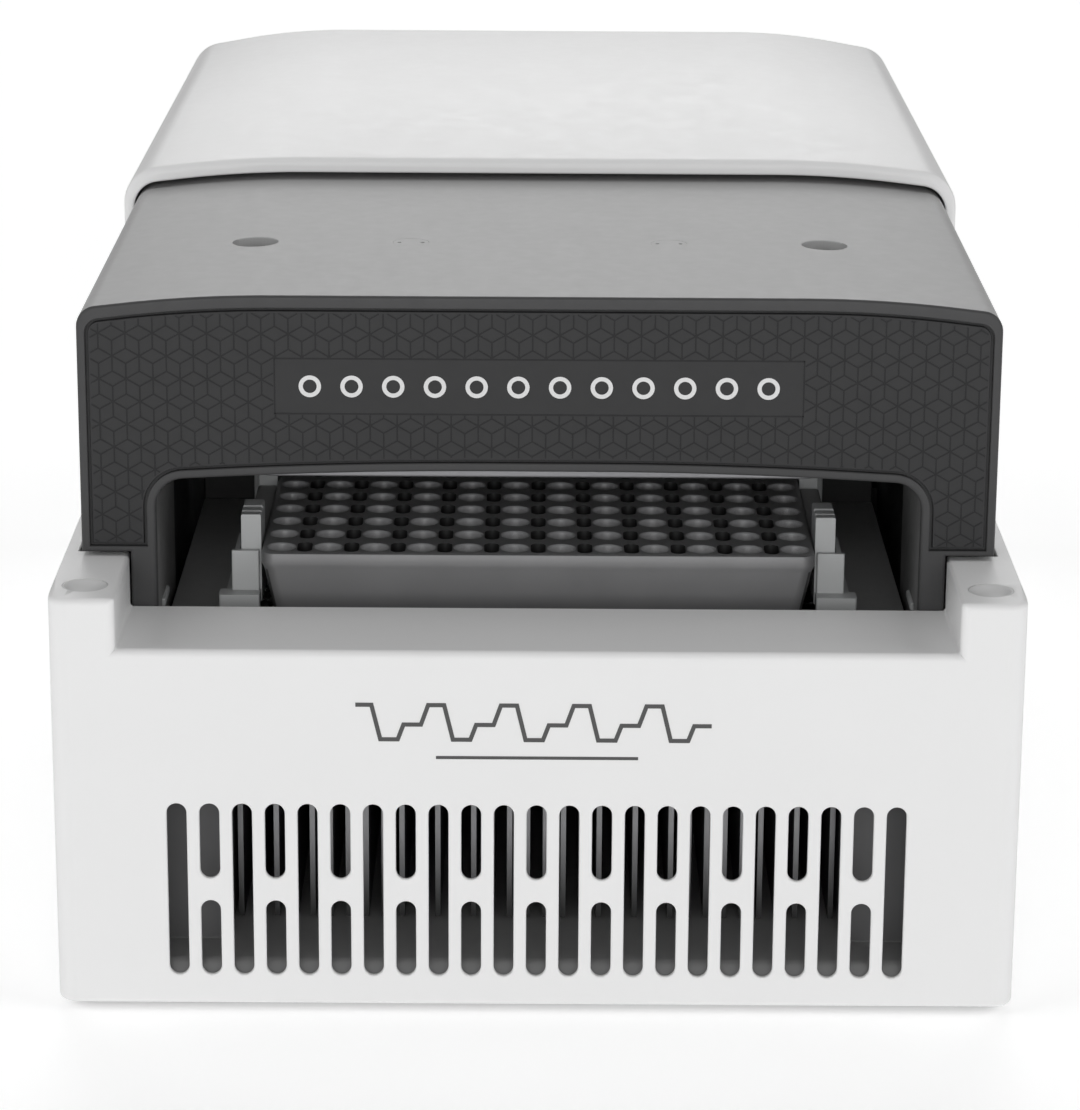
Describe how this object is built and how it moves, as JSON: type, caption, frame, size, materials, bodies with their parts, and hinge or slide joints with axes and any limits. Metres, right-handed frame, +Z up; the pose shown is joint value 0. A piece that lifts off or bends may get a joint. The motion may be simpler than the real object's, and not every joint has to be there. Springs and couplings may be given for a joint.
{
  "type": "thermal cycler",
  "caption": "Bench-top thermal cycler for one 96-well plate: white housing with a slotted front grille and a grey heated lid that slides back under a rear cover.",
  "frame": {"origin": "centre of the footprint, on the surface the feet stand on", "axes": "+X to the right seen from the front, +Y to the back, +Z up"},
  "size_m": [0.18, 0.32, 0.1364],
  "materials": {
    "white_housing": "fine satin moulded plastic",
    "lid_grey": "satin grey paint",
    "lid_dark": "dark grey satin plastic",
    "patterned_panel": "dark film printed with a fine hexagon line pattern",
    "black_parts": "black moulded plastic",
    "duct_plastic": "dark grey moulded plastic",
    "pale_plastic": "light grey moulded plastic",
    "tray_black": "black powder-coated sheet",
    "sheet_steel": "zinc-plated sheet",
    "bright_steel": "ground steel",
    "sample_block_metal": "dark anodised, bead-blasted",
    "sink_aluminium": "grey anodised extrusion",
    "platen_metal": "machined aluminium",
    "motor_black": "black lacquered steel",
    "rubber_feet": "soft black rubber",
    "ceramic": "white alumina ceramic",
    "heater_silicone": "orange silicone mat",
    "insulation_foam": "foam board",
    "circuit_board": "green solder mask"
  },
  "bodies": {
    "base": {"base_shell": "white_housing", "rear_cover": "white_housing", "post_cap_left": "white_housing", "post_cap_right": "white_housing", "rear_deck": "black_parts", "fan_frame_left": "black_parts", "fan_frame_right": "black_parts", "power_inlet": "black_parts", "power_switch": "black_parts", "air_duct": "duct_plastic", "bay_deck": "duct_plastic", "lift_guide_left": "pale_plastic", "lift_guide_right": "pale_plastic", "chassis_tray": "tray_black", "rear_panel": "sheet_steel", "motor_plate": "sheet_steel", "lid_rail_left": "bright_steel", "lid_rail_right": "bright_steel", "data_ports": "bright_steel", "sample_block": "sample_block_metal", "heat_sink": "sink_aluminium", "power_supply": "sink_aluminium", "lid_motor": "motor_black", "screw_bearing": "motor_black", "foot_front_left": "rubber_feet", "foot_front_right": "rubber_feet", "foot_rear_left": "rubber_feet", "foot_rear_right": "rubber_feet", "peltier_left": "ceramic", "peltier_right": "ceramic", "main_board": "circuit_board"},
    "lid": {"lid_shell": "lid_grey", "lid_bezel": "lid_dark", "lid_panel": "patterned_panel", "lid_plug_left": "lid_dark", "lid_plug_right": "lid_dark", "lid_side_plate_left": "duct_plastic", "lid_side_plate_right": "duct_plastic", "lid_carriage_left": "black_parts", "lid_carriage_right": "black_parts", "lid_bridge": "sheet_steel", "guide_pin_left": "bright_steel", "guide_pin_right": "bright_steel", "press_motor": "motor_black", "nut_bracket": "motor_black"},
    "platen": {"heated_platen": "platen_metal", "platen_heater": "heater_silicone", "platen_insulation": "insulation_foam", "platen_carrier": "sheet_steel", "press_screw": "bright_steel"},
    "lead_screw": {"lead_screw": "bright_steel"},
    "press_rotor": {"press_rotor": "bright_steel"},
    "fan_left": {"fan_rotor_left": "black_parts"},
    "fan_right": {"fan_rotor_right": "black_parts"},
    "lift_left": {"lift_bar_left": "pale_plastic", "lift_spring_left": "bright_steel"},
    "lift_right": {"lift_bar_right": "pale_plastic", "lift_spring_right": "bright_steel"},
    "rocker": {"power_rocker": "black_parts"}
  },
  "joints": [
    {"name": "lid_slide", "type": "slide", "parent": "base", "child": "lid", "axis": [0, 1, 0], "range_m": [0, 0.11]},
    {"name": "platen_press", "type": "slide", "parent": "lid", "child": "platen", "axis": [0, 0, -1], "range_m": [0, 0.01]},
    {"name": "lead_screw_turn", "type": "hinge", "parent": "base", "child": "lead_screw", "pos_m": [0.063, -0.034, 0.0575], "axis": [0, 1, 0], "range_deg": [0, 4951]},
    {"name": "press_rotor_turn", "type": "hinge", "parent": "lid", "child": "press_rotor", "pos_m": [0, -0.0871, 0.1138], "axis": [0, 0, 1], "range_deg": [0, 1801]},
    {"name": "fan_left_spin", "type": "hinge", "parent": "base", "child": "fan_left", "pos_m": [-0.026, -0.026, 0.035], "axis": [0, 1, 0], "continuous": true},
    {"name": "fan_right_spin", "type": "hinge", "parent": "base", "child": "fan_right", "pos_m": [0.026, -0.026, 0.035], "axis": [0, 1, 0], "continuous": true},
    {"name": "lift_left_travel", "type": "slide", "parent": "base", "child": "lift_left", "axis": [0, 0, -1], "range_m": [0, 0.005], "stiffness_N_per_m": 150, "springref_m": -0.004, "deforming": ["lift_spring_left"]},
    {"name": "lift_right_travel", "type": "slide", "parent": "base", "child": "lift_right", "axis": [0, 0, -1], "range_m": [0, 0.005], "stiffness_N_per_m": 150, "springref_m": -0.004, "deforming": ["lift_spring_right"]},
    {"name": "rocker_tilt", "type": "hinge", "parent": "base", "child": "rocker", "pos_m": [-0.0275, 0.156, 0.0255], "axis": [-1, 0, 0], "range_deg": [0, 16]}
  ],
  "couplings": [
    {"joint": "lead_screw_turn", "follows": "lid_slide", "rad_per_m": 785.4},
    {"joint": "press_rotor_turn", "follows": "platen_press", "rad_per_m": 3141.6}
  ]
}
